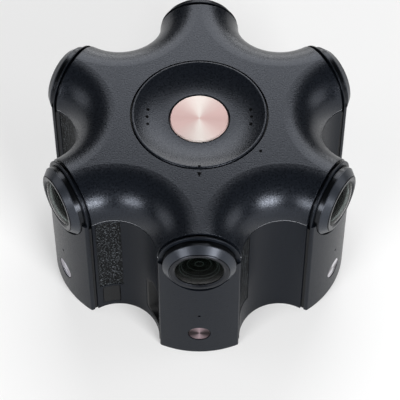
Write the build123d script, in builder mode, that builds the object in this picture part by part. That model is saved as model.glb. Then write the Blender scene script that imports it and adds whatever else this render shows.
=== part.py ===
from build123d import *
from math import asin, cos, degrees, radians, sin, sqrt
import os

# Panoramic camera with six lenses, one on the end of each arm of a star-shaped body.
# Frame: millimetres, +Z up, origin on the floor under the centre, front arm towards -Y.

# Star plan and heights of the body
arm_count = 6
arm_step = 360 / arm_count
arm_names = ("front", "front_right", "back_right", "back", "back_left", "front_left")
first_arm = -90
first_scallop = first_arm + arm_step / 2
foot_height = 1.0
lens_above_base = 89.0
crest_half_width = 0.4
scallop_ring_radius = 98.8
arm_share = 0.2429
end_overhang = 0.64
wall = 2.5
floor_thickness = 5.0
overrun = 2.0
fit_gap = 0.3
press_gap = 0.02

arm_radius = arm_share * scallop_ring_radius
body_base = foot_height
lens_z = body_base + lens_above_base
top_z = lens_z + arm_radius
arm_half_width = arm_radius + crest_half_width
scallop_radius = scallop_ring_radius * sin(radians(arm_step / 2)) - arm_half_width
waist = scallop_ring_radius - scallop_radius
narrowest = scallop_ring_radius * cos(radians(arm_step / 2))
shell_end = narrowest + end_overhang
top_flat = waist - arm_radius

# Parting strips between the two shells
strip_height = 0.8
strip_recess = 0.2
strip_width = 1.6
strip_bottom = lens_z - strip_height / 2
strip_top = lens_z + strip_height / 2

# End panels with a bulging nose below each lens
groove = 2.0
panel_rim = 0.9
rim_round = 0.5
panel_inset = 0.5
panel_lip = 0.6
nose_reach = 9.3
nose_radius = 58.0
nose_edge_round = 1.5
nose_wall = 2.4
spigot_depth = 3.0
spigot_wall = 2.0
panel_back = shell_end + groove
panel_half_width = arm_half_width - panel_inset
spigot_half_width = arm_radius - wall - fit_gap
spigot_inside = spigot_half_width - spigot_wall
shell_floor_top = body_base + floor_thickness
spigot_bottom = shell_floor_top + fit_gap
nose_tip = shell_end + nose_reach
nose_centre = nose_tip - nose_radius

# Badge discs and microphone holes in the noses
badge_radius = 6.7
badge_above_base = 20.3
badge_thickness = 1.6
badge_sink = 0.5
badge_gap = 0.15
microphone_above_base = 40.2
microphone_radius = 0.9

# Lens barrels
barrel_margin = 2.7
barrel_reach = 6.0
barrel_gap = 0.25
barrel_tail_share = 0.798
barrel_neck_share = 0.873
barrel_stem_share = 0.61
barrel_neck = 1.8
stem_setback = 14.2
baffle_step = 1.2
baffle_depth = 1.1
inner_lens_setback = 2.2
light_bore_share = 0.376
barrel_radius = arm_radius - barrel_margin
barrel_front = shell_end + barrel_reach
barrel_tail_radius = barrel_tail_share * barrel_radius
barrel_neck_radius = barrel_neck_share * barrel_radius
barrel_stem_radius = barrel_stem_share * barrel_radius
barrel_stem_end = shell_end - stem_setback
inner_lens_seat = shell_end - inner_lens_setback
barrel_shoulder = panel_back + panel_lip
barrel_face = barrel_front + barrel_neck

# Bezels, retaining rings and glass
bezel_edge = 0.6
bezel_share = 0.84
bezel_lip = 0.3
bezel_slope = 3.6
ring_gap = 0.3
ring_reach = 4.7
ring_chamfer = 0.3
ring_face = 1.6
ring_bevel_depth = 0.7
glass_gap = 0.15
glass_edge = 2.2
glass_sagitta = 3.0
glass_share = 0.66
glass_back_share = 0.59
glass_bore_share = 0.582
glass_back_sagitta = 2.8
inner_lens_edge = 3.6
inner_lens_sagitta = 2.6
inner_lens_gap = 0.1
bezel_front_radius = bezel_share * barrel_radius
bezel_bore = bezel_front_radius - bezel_lip
ring_radius = bezel_bore - ring_gap
ring_front = barrel_front + ring_reach
glass_radius = glass_share * barrel_radius
glass_back_radius = glass_back_share * barrel_radius
glass_bore = glass_bore_share * barrel_radius
inner_bore = glass_bore - 2 * baffle_step
light_bore = light_bore_share * barrel_radius

# Twist cover over the card bay, with its seat
cover_margin = 9.3
cover_gap = 0.6
cover_lip_rise = 0.7
cover_lip = 1.9
dish_wall_width = 16.0
dish_depth = 4.5
cover_skin = 2.0
skirt_inset = 4.0
skirt_wall = 2.0
skirt_bottom = 12.0
lug_reach = 2.4
lug_height = 1.6
lug_span = 30
lug_count = 3
cover_travel = 50
seat_margin = 3.5
seat_wall = 4.5
seat_depth = 16.0
seat_floor = 2.0
ledge_thickness = 2.0
running_gap = 0.3
indicator_radius = 0.9
indicator_outset = 6.5
indicator_below_top = 2.9
indicator_step = 10
indicator_length = 2.2
cover_radius = top_flat - cover_margin
cover_opening = cover_radius + cover_gap
cover_lip_radius = cover_radius - cover_lip
dish_floor_radius = cover_radius - dish_wall_width
skirt_radius = cover_radius - skirt_inset
seat_radius = cover_radius + seat_margin
indicator_ring = dish_floor_radius + indicator_outset
shell_underside = top_z - wall
seat_floor_top = top_z - seat_depth + seat_floor
lug_bottom = top_z - skirt_bottom
ledge_bottom = lug_bottom + lug_height + running_gap

# Core frame: hexagonal ring that carries the lens modules, on a deck with legs
core_gap = 6.0
core_wall = 2.0
core_above_lens = 17.0
deck_above_base = 46.0
deck_thickness = 3.0
deck_gap = 4.3
deck_rim = 1.0
leg_radius = 4.0
deck_bottom = body_base + deck_above_base
deck_top = deck_bottom + deck_thickness
deck_radius = waist - wall - deck_gap
leg_ring_radius = deck_radius - deck_rim - leg_radius
core_apothem = seat_radius + core_gap
core_inside = core_apothem - core_wall

# Sensor boards behind the lens barrels
sensor_board_size = 26.0
sensor_board_thickness = 1.6
sensor_chip_share = 1.25
sensor_chip_thickness = 1.2
sensor_chip_size = sensor_chip_share * light_bore

# Main board, battery and heat sink
battery_end_gap = 13.0
battery_side_gap = 22.0
battery_height = 22.0
battery_corner = 4.0
board_gap = 5.0
board_thickness = 1.6
board_standoff = 24.0
standoff_radius = 2.5
standoff_inset = 5.0
battery_length = 2 * (core_inside - battery_end_gap)
battery_width = 2 * (core_inside - battery_side_gap)
board_radius = core_inside - board_gap
standoff_ring_radius = board_radius - standoff_inset
chip_size = 14.0
chip_height = 2.4
chip_ring_radius = 20.0
sink_radius = 38.0
sink_plate = 3.0
fin_height = 15.0
fin_thickness = 1.5
fin_pitch = 6.0
fin_count = 11

# Cooling fan over the base plate
fan_radius = 34.0
fan_ring_wall = 2.5
fan_floor = 2.0
fan_hub_radius = 10.0
fan_strut_width = 4.0
fan_strut_count = 4
fan_shaft_radius = 2.0
fan_running_gap = 0.05
fan_tip_gap = 1.2
fan_clearance = 0.8
blade_count = 7
blade_chord = 12.0
blade_thickness = 1.4
blade_pitch = 38
rotor_height = 10.0

# Base plate, tripod bush, screws and feet
base_plate_radius = 55.0
base_plate_thickness = 3.0
base_plate_gap = 0.2
base_ledge = 7.0
base_screw_inset = 3.5
base_screw_radius = 1.5
base_screw_length = 9.0
screw_head_radius = 2.6
screw_head_depth = 1.6
screw_boss_radius = 3.2
screw_boss_height = 6.0
screw_clearance = 0.1
base_ledge_radius = base_plate_radius - base_ledge
base_screw_ring_radius = base_plate_radius - base_screw_inset
vent_slot_inner = 17.0
vent_slot_outer = 30.0
vent_slot_width = 2.6
vent_slot_count = 16
bush_radius = 8.0
bush_flange_radius = 11.0
bush_flange = 1.5
bush_height = 12.0
tripod_thread_radius = 3.175
tripod_thread_depth = 10.0
bush_gap = 0.1
foot_radius = 5.5
foot_recess = 1.0
foot_setback = 10.2
foot_gap = 0.1
foot_ring_radius = shell_end - foot_setback

# Power button in the middle of the cover
dish_floor_width = 6.9
button_gap = 0.5
button_thickness = 2.0
button_bevel = 0.6
button_below_top = 4.1
button_travel = 1.0
button_well_wall = 1.5
button_well_depth = 10.0
button_stem_radius = 4.0
button_stem_gap = 0.06
button_stem_length = 5.5
spring_radius = 7.0
spring_wire = 0.5
switch_radius = 4.0
card_socket_length = 12.0
card_socket_width = 13.0
card_socket_height = 2.4
card_socket_inset = 12.5
card_slot_height = 0.9
card_slot_width = 11.0
button_radius = dish_floor_radius - dish_floor_width
card_socket_ring_radius = seat_radius - seat_wall - card_socket_inset

# Vent meshes let into the scallop walls, each beside the arm on the clockwise side
mesh_start = 23
mesh_end = 57
mesh_bottom_above_base = 22.0
mesh_top_below_lens = 1.5
mesh_thickness = 1.2
mesh_recess = 0.2
mesh_gap = 0.15
mesh_ledge = 2.0

# Port flap with its socket and pin in the front left scallop
flap_start = 30
flap_end = 52
flap_bottom_above_base = 4.0
flap_height = 16.0
flap_thickness = 1.6
flap_gap = 0.3
flap_pin_radius = 0.4
flap_pin_gap = 0.05
flap_pin_reach = 2.0
flap_scallop = first_scallop + (arm_count - 1) * arm_step
usb_width = 9.0
usb_height = 3.2
usb_body_width = 12.0
usb_body_height = 7.0
usb_body_depth = 9.0
usb_shell = 1.0

# Port bay in the left flank of the front arm
bay_setback_share = 0.448
bay_width_share = 0.6
bay_height = 37.0
bay_bottom_above_base = 5.0
bay_corner = 6.0
bay_wall = 1.2
bay_floor_at = 14.0
bay_floor = 2.0
bay_gap = 0.1
network_above_base = 30.0
network_width = 11.8
network_height = 8.0
network_depth = 11.0
network_body_width = 15.0
network_body_height = 13.5
network_body_depth = 15.0
inlet_above_base = 13.5
inlet_radius = 3.2
inlet_depth = 9.0
inlet_body_radius = 5.5
inlet_body_depth = 12.0
bay_width = bay_width_share * scallop_radius
bay_centre = shell_end - bay_setback_share * scallop_radius


def arm_angle(index):
    return first_arm + index * arm_step


def direction(angle):
    return (cos(radians(angle)), sin(radians(angle)), 0)


def arm_section(angle):
    """Upright plane through an arm's lens axis: x outwards along the arm, y up."""
    return Plane(origin=(0, 0, lens_z), x_dir=direction(angle), z_dir=direction(angle - 90))


def arm_face(angle, distance):
    """Plane square to an arm at a distance from the centre: x sideways, y up, z outwards."""
    along = direction(angle)
    return Plane(
        origin=(distance * along[0], distance * along[1], lens_z),
        x_dir=direction(angle + 90),
        z_dir=along,
    )


def turned_plan(angle, height):
    """Level plane at a height, with x turned to an angle."""
    return Plane(origin=(0, 0, height), x_dir=direction(angle), z_dir=(0, 0, 1))


def lens_axis(angle):
    return Axis((0, 0, lens_z), direction(angle))


def save(piece, label):
    piece.part.label = label
    export_step(piece.part, f"parts/{label}.step")


def save_revolved(label, angle, points):
    """A turned lens part on an arm: points are distance from the centre, then radius."""
    with BuildPart() as turned:
        with BuildSketch(arm_section(angle)):
            with BuildLine():
                Polyline(*points, close=True)
            make_face()
        revolve(axis=lens_axis(angle))
    save(turned, label)


def star_plan(end, skin):
    """Six-armed outline with concave scallops, in the sketch that is open."""
    RegularPolygon(radius=end, side_count=arm_count, major_radius=False)
    with PolarLocations(scallop_ring_radius, arm_count, start_angle=first_scallop):
        Circle(scallop_radius + skin, mode=Mode.SUBTRACT)


def scallop_cutter(skin):
    """Round cutter that leaves a wall, then flares over the top edge in a quarter arc."""
    crest = scallop_radius + arm_half_width - crest_half_width
    with BuildPart() as cutter:
        with BuildSketch(Plane.XZ):
            with BuildLine():
                foot = (scallop_radius + skin, body_base - overrun)
                spring_point = (scallop_radius + skin, lens_z)
                Line((0, foot[1]), foot)
                Line(foot, spring_point)
                over = CenterArc((crest, lens_z), arm_radius - skin, 180, -90)
                Line(over @ 1, (crest, top_z + overrun))
                Line((crest, top_z + overrun), (0, top_z + overrun))
                Line((0, top_z + overrun), (0, foot[1]))
            make_face()
        revolve(axis=Axis.Z)
    return cutter.part


def arch(half_width, bottom):
    """Tombstone outline on an arm's face: straight sides, round top about the lens axis."""
    with Locations((0, bottom - lens_z)):
        Rectangle(2 * half_width, lens_z - bottom, align=(Align.CENTER, Align.MIN))
    Circle(half_width)


def scallop_band(index, start, end, inner, outer, bottom, top, mode):
    """Curved block on a scallop's wall, between two angles from its waist line."""
    angle = first_scallop + index * arm_step
    reach = 2 * outer
    with BuildSketch(turned_plan(angle, bottom)) as band:
        with Locations((scallop_ring_radius, 0)):
            Circle(outer)
            if inner > 0:
                Circle(inner, mode=Mode.SUBTRACT)
        with BuildLine():
            Polyline(
                (scallop_ring_radius, 0),
                (scallop_ring_radius - reach * cos(radians(start)), -reach * sin(radians(start))),
                (scallop_ring_radius - reach * cos(radians(end)), -reach * sin(radians(end))),
                close=True,
            )
        make_face(mode=Mode.INTERSECT)
    extrude(band.sketch, amount=top - bottom, mode=mode)


def make_top_shell():
    with BuildPart() as inside:
        with BuildSketch(Plane.XY.offset(strip_top - overrun)):
            RegularPolygon(radius=shell_end + overrun, side_count=arm_count, major_radius=False)
        extrude(amount=shell_underside - strip_top + overrun)
        with PolarLocations(scallop_ring_radius, arm_count, start_angle=first_scallop):
            add(scallop_cutter(wall), mode=Mode.SUBTRACT)
    with BuildPart() as top_shell:
        with BuildSketch(Plane.XY.offset(strip_top)):
            RegularPolygon(radius=shell_end, side_count=arm_count, major_radius=False)
        extrude(amount=top_z - strip_top)
        with PolarLocations(scallop_ring_radius, arm_count, start_angle=first_scallop):
            add(scallop_cutter(0), mode=Mode.SUBTRACT)
        add(inside.part, mode=Mode.SUBTRACT)
        with BuildSketch(Plane.XY.offset(shell_underside - overrun)):
            Circle(cover_opening)
        extrude(amount=wall + 2 * overrun, mode=Mode.SUBTRACT)
    save(top_shell, "top_shell")


def make_lower_shell():
    with BuildPart() as lower_shell:
        with BuildSketch(Plane.XY.offset(body_base)):
            star_plan(shell_end, 0)
        extrude(amount=strip_bottom - body_base)
        with BuildSketch(Plane.XY.offset(shell_floor_top)):
            star_plan(shell_end + overrun, wall)
        extrude(amount=strip_bottom - shell_floor_top + overrun, mode=Mode.SUBTRACT)
        base_plate_seat()
        foot_recesses()
        for index in range(arm_count):
            mesh_window(index)
        flap_pocket()
        with BuildSketch(bay_plane(0)):
            bay_outline(bay_gap)
        extrude(amount=scallop_ring_radius, mode=Mode.SUBTRACT)
    save(lower_shell, "lower_shell")


def base_plate_seat():
    """Step for the base plate in the open part's floor, with a screw boss behind each hole."""
    with BuildSketch(Plane.XY.offset(shell_floor_top)) as bosses:
        with PolarLocations(base_screw_ring_radius, arm_count, start_angle=first_arm):
            Circle(screw_boss_radius)
    extrude(bosses.sketch, amount=screw_boss_height)
    with BuildSketch(Plane.XY.offset(body_base)) as step:
        Circle(base_plate_radius)
    extrude(step.sketch, amount=base_plate_thickness, mode=Mode.SUBTRACT)
    with BuildSketch(Plane.XY.offset(body_base)) as opening:
        Circle(base_ledge_radius)
    extrude(opening.sketch, amount=floor_thickness, mode=Mode.SUBTRACT)
    with BuildSketch(Plane.XY.offset(body_base)) as screw_holes:
        with PolarLocations(base_screw_ring_radius, arm_count, start_angle=first_arm):
            Circle(base_screw_radius + press_gap)
    extrude(screw_holes.sketch, amount=base_screw_length, mode=Mode.SUBTRACT)


def foot_recesses():
    with BuildSketch(Plane.XY.offset(body_base)) as recesses:
        with PolarLocations(foot_ring_radius, arm_count, start_angle=first_arm):
            Circle(foot_radius + foot_gap)
    extrude(recesses.sketch, amount=foot_recess, mode=Mode.SUBTRACT)


def mesh_window(index):
    """Shallow recess for a vent mesh, and the window behind it with a ledge all round."""
    bottom = body_base + mesh_bottom_above_base
    top = lens_z - mesh_top_below_lens
    back = scallop_radius + mesh_recess + mesh_thickness + press_gap
    gap_angle = degrees(mesh_gap / scallop_radius)
    ledge_angle = degrees(mesh_ledge / scallop_radius)
    scallop_band(
        index, mesh_start - gap_angle, mesh_end + gap_angle, 0, back,
        bottom - mesh_gap, top + mesh_gap, Mode.SUBTRACT,
    )
    scallop_band(
        index, mesh_start + ledge_angle, mesh_end - ledge_angle, 0, scallop_radius + wall + overrun,
        bottom + mesh_ledge, top - mesh_ledge, Mode.SUBTRACT,
    )


def hinge_plane(height):
    """Level plane with its origin on the flap's hinge line and x away from the scallop's axis."""
    centre = direction(flap_scallop)
    away = direction(flap_scallop + 180 + flap_start)
    reach = scallop_radius + flap_thickness / 2
    origin = (
        scallop_ring_radius * centre[0] + reach * away[0],
        scallop_ring_radius * centre[1] + reach * away[1],
        height,
    )
    return Plane(origin=origin, x_dir=away, z_dir=(0, 0, 1))


def socket_plane(reach):
    """Upright plane square to the line from the scallop's axis through the flap's middle."""
    centre = direction(flap_scallop)
    outwards = direction(flap_scallop + 180 + (flap_start + flap_end) / 2)
    origin = (
        scallop_ring_radius * centre[0] + reach * outwards[0],
        scallop_ring_radius * centre[1] + reach * outwards[1],
        body_base + flap_bottom_above_base + flap_height / 2,
    )
    return Plane(origin=origin, x_dir=(-outwards[1], outwards[0], 0), z_dir=outwards)


def flap_pocket():
    bottom = body_base + flap_bottom_above_base
    top = bottom + flap_height
    knuckle_angle = degrees((flap_thickness / 2 + flap_gap) / scallop_radius)
    gap_angle = degrees(flap_gap / scallop_radius)
    scallop_band(
        arm_count - 1, flap_start - knuckle_angle, flap_end + gap_angle, 0,
        scallop_radius + flap_thickness + flap_gap, bottom - flap_gap, top + flap_gap, Mode.SUBTRACT,
    )
    with BuildSketch(hinge_plane(bottom - flap_pin_reach)) as pin_hole:
        Circle(flap_pin_radius + press_gap)
    extrude(pin_hole.sketch, amount=flap_height + 2 * flap_pin_reach, mode=Mode.SUBTRACT)
    with BuildSketch(socket_plane(scallop_radius)) as window:
        Rectangle(usb_width, usb_height)
    extrude(window.sketch, amount=wall + overrun, mode=Mode.SUBTRACT)


def bay_plane(distance):
    """Upright plane facing out of the front arm's left flank, at a distance from its middle."""
    return Plane(origin=(-distance, -bay_centre, body_base), x_dir=(0, -1, 0), z_dir=(-1, 0, 0))


def bay_outline(gap):
    with Locations((0, bay_bottom_above_base + bay_height / 2)):
        RectangleRounded(bay_width + 2 * gap, bay_height + 2 * gap, bay_corner + gap)


def make_parting_strips():
    with BuildPart() as strips:
        with BuildSketch(Plane.XY.offset(strip_bottom)):
            star_plan(shell_end, strip_recess)
            star_plan_inside(shell_end + overrun, strip_width)
        extrude(amount=strip_height)
    save(strips, "parting_strips")


def star_plan_inside(end, skin):
    """Take the six-armed outline, a skin further in, out of the open sketch."""
    with BuildSketch(mode=Mode.PRIVATE) as inside:
        star_plan(end, skin)
    add(inside.sketch, mode=Mode.SUBTRACT)


def make_end_panel(index):
    angle = arm_angle(index)
    with BuildPart() as panel:
        with BuildSketch(arm_face(angle, panel_back)):
            arch(panel_half_width, body_base)
        extrude(amount=panel_rim)
        front = panel.faces().sort_by(lens_axis(angle))[-1]
        fillet(front.edges().sort_by(Axis.Z)[1:], radius=rim_round)
        with BuildSketch(turned_plan(angle, body_base)):
            nose_plan(nose_radius, panel_half_width)
        extrude(amount=lens_above_base)
        with BuildSketch(arm_face(angle, shell_end - spigot_depth)):
            arch(spigot_half_width, spigot_bottom)
        extrude(amount=spigot_depth + groove + panel_lip)
        with BuildSketch(turned_plan(angle, spigot_bottom + spigot_wall)):
            nose_plan(nose_radius - nose_wall, spigot_inside, shell_end - spigot_depth - overrun)
        extrude(amount=lens_z - spigot_bottom - spigot_wall, mode=Mode.SUBTRACT)
        with BuildSketch(arm_face(angle, shell_end - spigot_depth - overrun)):
            Circle(spigot_inside)
        extrude(amount=nose_tip, mode=Mode.SUBTRACT)
        with BuildSketch(arm_face(angle, barrel_shoulder)):
            Circle(barrel_radius + barrel_gap)
        extrude(amount=nose_tip, mode=Mode.SUBTRACT)
        with BuildSketch(arm_face(angle, nose_tip - badge_sink - badge_thickness - press_gap)):
            with Locations((0, badge_above_base - lens_above_base)):
                Circle(badge_radius + badge_gap)
        extrude(amount=badge_thickness + overrun, mode=Mode.SUBTRACT)
        with BuildSketch(arm_face(angle, nose_tip - nose_wall - overrun)):
            with Locations((0, microphone_above_base - lens_above_base)):
                Circle(microphone_radius)
        extrude(amount=nose_wall + 2 * overrun, mode=Mode.SUBTRACT)
    save(panel, f"end_panel_{arm_names[index]}")


def nose_plan(radius, half_width, back=panel_back):
    """Plan of a nose: a broad round front with eased corners, straight sides and a flat back."""
    corner = nose_centre + sqrt(radius**2 - half_width**2)
    tip = nose_centre + radius
    with BuildSketch(mode=Mode.PRIVATE) as plan:
        with BuildLine():
            Polyline((corner, -half_width), (back, -half_width), (back, half_width), (corner, half_width))
            ThreePointArc((corner, half_width), (tip, 0), (corner, -half_width))
        make_face()
        fillet(plan.vertices().sort_by(Axis.X)[-2:], radius=nose_edge_round)
    add(plan.sketch)


def make_badges():
    """Bare flat discs let into the noses."""
    with BuildPart() as badges:
        for index in range(arm_count):
            with BuildSketch(arm_face(arm_angle(index), nose_tip - badge_sink - badge_thickness)):
                with Locations((0, badge_above_base - lens_above_base)):
                    Circle(badge_radius)
            extrude(amount=badge_thickness)
    save(badges, "arm_badges")


def make_lens_module(index):
    name = arm_names[index]
    angle = arm_angle(index)
    save_revolved(f"lens_barrel_{name}", angle, barrel_points())
    save_revolved(f"lens_bezel_{name}", angle, bezel_points())
    save_revolved(f"retaining_ring_{name}", angle, ring_points())
    save_front_lens(f"front_lens_{name}", angle)


def barrel_points():
    """Half section of a barrel: stem on the core frame, wide front, neck and stepped bore."""
    first_step = barrel_face - baffle_depth
    second_step = first_step - baffle_depth
    return [
        (core_apothem, light_bore),
        (core_apothem, barrel_stem_radius),
        (barrel_stem_end, barrel_stem_radius),
        (barrel_stem_end, barrel_tail_radius),
        (barrel_shoulder, barrel_tail_radius),
        (barrel_shoulder, barrel_radius),
        (barrel_front, barrel_radius),
        (barrel_front, barrel_neck_radius),
        (barrel_face, barrel_neck_radius),
        (barrel_face, glass_bore),
        (first_step, glass_bore),
        (first_step, glass_bore - baffle_step),
        (second_step, glass_bore - baffle_step),
        (second_step, inner_bore),
        (inner_lens_seat, inner_bore),
        (inner_lens_seat, light_bore),
    ]


def bezel_points():
    """Half section of a bezel: ring on the barrel's neck with a steep cone in front."""
    seat_bore = barrel_neck_radius + inner_lens_gap
    cone_back = barrel_front + bezel_edge
    return [
        (barrel_front, seat_bore),
        (barrel_front, barrel_radius),
        (cone_back, barrel_radius),
        (cone_back + bezel_slope, bezel_front_radius),
        (cone_back + bezel_slope, bezel_bore),
        (barrel_face, bezel_bore),
        (barrel_face, seat_bore),
    ]


def ring_points():
    """Half section of a retaining ring: flat face with a bevel down to the glass."""
    bore = glass_radius + glass_gap
    return [
        (barrel_face, bore),
        (barrel_face, ring_radius),
        (ring_front - ring_chamfer, ring_radius),
        (ring_front, ring_radius - ring_chamfer),
        (ring_front, ring_radius - ring_chamfer - ring_face),
        (ring_front - ring_bevel_depth, bore),
    ]


def save_front_lens(label, angle):
    """Meniscus glass: domed front, flat rim on the barrel's face, hollow back."""
    rim = barrel_face + glass_edge
    with BuildPart() as glass:
        with BuildSketch(arm_section(angle)):
            with BuildLine():
                Line((barrel_face, glass_back_radius), (barrel_face, glass_radius))
                Line((barrel_face, glass_radius), (rim, glass_radius))
                dome_arc((rim, glass_radius), glass_sagitta)
                Line((rim + glass_sagitta, 0), (barrel_face + glass_back_sagitta, 0))
                dome_arc((barrel_face, glass_back_radius), glass_back_sagitta)
            make_face()
        revolve(axis=lens_axis(angle))
    save(glass, label)


def dome_arc(rim_point, sagitta):
    """Arc from a rim point to the lens axis, square to the axis where it meets it."""
    rim_at, radius = rim_point
    sphere = (radius**2 + sagitta**2) / (2 * sagitta)
    half_angle = degrees(asin(radius / sphere))
    CenterArc((rim_at + sagitta - sphere, 0), sphere, 0, half_angle)


def make_inner_lenses():
    with BuildPart() as lenses:
        for index in range(arm_count):
            angle = arm_angle(index)
            radius = inner_bore - inner_lens_gap
            front = inner_lens_seat + inner_lens_edge
            with BuildSketch(arm_section(angle)):
                with BuildLine():
                    Line((inner_lens_seat, 0), (inner_lens_seat, radius))
                    Line((inner_lens_seat, radius), (front, radius))
                    dome_arc((front, radius), inner_lens_sagitta)
                    Line((front + inner_lens_sagitta, 0), (inner_lens_seat, 0))
                make_face()
            revolve(axis=lens_axis(angle))
    save(lenses, "inner_lenses")


def make_sensor_boards():
    with BuildPart() as boards:
        for index in range(arm_count):
            with BuildSketch(arm_face(arm_angle(index), core_inside - sensor_board_thickness)):
                Rectangle(sensor_board_size, sensor_board_size)
            extrude(amount=sensor_board_thickness)
            with BuildSketch(arm_face(arm_angle(index), core_inside)):
                Rectangle(sensor_chip_size, sensor_chip_size)
            extrude(amount=sensor_chip_thickness)
    save(boards, "sensor_boards")


def make_core_frame():
    window_height = lens_z - barrel_stem_radius - deck_top - 2 * deck_thickness
    with BuildPart() as core:
        with BuildSketch(Plane.XY.offset(deck_top)):
            RegularPolygon(radius=core_apothem, side_count=arm_count, major_radius=False)
            RegularPolygon(
                radius=core_inside, side_count=arm_count, major_radius=False, mode=Mode.SUBTRACT
            )
        extrude(amount=lens_z + core_above_lens - deck_top)
        with BuildSketch(Plane.XY.offset(deck_bottom)):
            Circle(deck_radius)
        extrude(amount=deck_thickness)
        with BuildSketch(Plane.XY.offset(shell_floor_top)):
            with PolarLocations(leg_ring_radius, arm_count, start_angle=first_scallop):
                Circle(leg_radius)
        extrude(amount=deck_bottom - shell_floor_top)
        with BuildSketch(Plane.XY.offset(deck_top)):
            with PolarLocations(standoff_ring_radius, arm_count, start_angle=first_scallop):
                Circle(standoff_radius)
        extrude(amount=board_standoff)
        for index in range(arm_count):
            angle = arm_angle(index)
            with BuildSketch(arm_face(angle, core_inside - overrun)):
                Circle(light_bore)
                with Locations((0, deck_top + deck_thickness + window_height / 2 - lens_z)):
                    RectangleRounded(sensor_board_size, window_height, core_wall)
            extrude(amount=core_wall + 2 * overrun, mode=Mode.SUBTRACT)
    save(core, "core_frame")


def make_battery():
    with BuildPart() as battery:
        with BuildSketch(Plane.XY.offset(deck_top)):
            RectangleRounded(battery_length, battery_width, battery_corner)
        extrude(amount=battery_height)
    save(battery, "battery_pack")


def make_main_board():
    board_bottom = deck_top + board_standoff
    with BuildPart() as board:
        with BuildSketch(Plane.XY.offset(board_bottom)):
            Circle(board_radius)
        extrude(amount=board_thickness)
        with BuildSketch(Plane.XY.offset(board_bottom + board_thickness)):
            with PolarLocations(chip_ring_radius, arm_count, start_angle=first_arm):
                Rectangle(chip_size, chip_size)
        extrude(amount=chip_height)
    save(board, "main_board")


def make_heat_sink():
    plate_bottom = deck_bottom - sink_plate
    with BuildPart() as sink:
        with BuildSketch(Plane.XY.offset(plate_bottom)):
            Circle(sink_radius)
        extrude(amount=sink_plate)
        with BuildSketch(Plane.XY.offset(plate_bottom - fin_height)):
            with GridLocations(0, fin_pitch, 1, fin_count):
                Rectangle(2 * sink_radius, fin_thickness)
            Circle(sink_radius, mode=Mode.INTERSECT)
        extrude(amount=fin_height)
    save(sink, "heat_sink")


fan_base = body_base + base_plate_thickness
fan_duct_top = deck_bottom - sink_plate - fin_height - fan_clearance
strut_bottom = body_base + bush_height + fan_clearance
strut_top = strut_bottom + fan_floor
rotor_bottom = strut_top + fan_clearance


def make_fan_frame():
    with BuildPart() as frame:
        with BuildSketch(Plane.XY.offset(fan_base)):
            Circle(fan_radius)
            Circle(fan_radius - fan_ring_wall, mode=Mode.SUBTRACT)
        extrude(amount=fan_duct_top - fan_base)
        with BuildSketch(Plane.XY.offset(strut_bottom)):
            Circle(fan_hub_radius)
            with PolarLocations(0, fan_strut_count):
                Rectangle(
                    fan_radius - fan_ring_wall / 2, fan_strut_width, align=(Align.MIN, Align.CENTER)
                )
        extrude(amount=fan_floor)
        with BuildSketch(Plane.XY.offset(strut_top)):
            Circle(fan_shaft_radius)
        extrude(amount=fan_clearance + rotor_height)
    save(frame, "fan_frame")


def make_fan_rotor():
    """Hub with pitched blades, each pushed out along its own radius, cut round at the tips."""
    tip = fan_radius - fan_ring_wall - fan_tip_gap
    with BuildPart() as rotor:
        with BuildSketch(Plane.XY.offset(rotor_bottom)):
            Circle(fan_hub_radius)
        extrude(amount=rotor_height)
        for blade in range(blade_count):
            along = direction(blade * 360 / blade_count)
            across = direction(blade * 360 / blade_count + 90)
            middle = rotor_bottom + rotor_height / 2
            with BuildSketch(Plane(origin=(0, 0, middle), x_dir=across, z_dir=along)):
                Rectangle(blade_chord, blade_thickness, rotation=blade_pitch)
            extrude(amount=tip)
        with BuildSketch(Plane.XY.offset(rotor_bottom)):
            Circle(tip)
            Circle(fan_shaft_radius + fan_running_gap, mode=Mode.SUBTRACT)
        extrude(amount=rotor_height, mode=Mode.INTERSECT)
    save(rotor, "fan_rotor")


def make_base_plate():
    with BuildPart() as plate:
        with BuildSketch(Plane.XY.offset(body_base)):
            Circle(base_plate_radius - base_plate_gap)
            Circle(bush_radius + bush_gap, mode=Mode.SUBTRACT)
            with PolarLocations(base_screw_ring_radius, arm_count, start_angle=first_arm):
                Circle(base_screw_radius + screw_clearance, mode=Mode.SUBTRACT)
            with PolarLocations((vent_slot_inner + vent_slot_outer) / 2, vent_slot_count):
                SlotOverall(vent_slot_outer - vent_slot_inner, vent_slot_width, mode=Mode.SUBTRACT)
        extrude(amount=base_plate_thickness)
        with BuildSketch(Plane.XY.offset(body_base)):
            with PolarLocations(base_screw_ring_radius, arm_count, start_angle=first_arm):
                Circle(screw_head_radius + screw_clearance)
        extrude(amount=screw_head_depth, mode=Mode.SUBTRACT)
    save(plate, "base_plate")


def make_base_screws():
    with BuildPart() as screws:
        with BuildSketch(Plane.XY.offset(body_base)):
            with PolarLocations(base_screw_ring_radius, arm_count, start_angle=first_arm):
                Circle(screw_head_radius)
        extrude(amount=screw_head_depth)
        with BuildSketch(Plane.XY.offset(body_base + screw_head_depth)):
            with PolarLocations(base_screw_ring_radius, arm_count, start_angle=first_arm):
                Circle(base_screw_radius)
        extrude(amount=base_screw_length - screw_head_depth)
    save(screws, "base_screws")


def make_tripod_bush():
    with BuildPart() as bush:
        with BuildSketch(Plane.XY.offset(body_base)):
            Circle(bush_radius)
        extrude(amount=bush_height)
        with BuildSketch(Plane.XY.offset(fan_base)):
            Circle(bush_flange_radius)
        extrude(amount=bush_flange)
        with BuildSketch(Plane.XY.offset(body_base)):
            Circle(tripod_thread_radius)
        extrude(amount=tripod_thread_depth, mode=Mode.SUBTRACT)
    save(bush, "tripod_bush")


def make_feet():
    with BuildPart() as feet:
        with BuildSketch(Plane.XY):
            with PolarLocations(foot_ring_radius, arm_count, start_angle=first_arm):
                Circle(foot_radius)
        extrude(amount=foot_height + foot_recess)
    save(feet, "base_feet")


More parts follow.
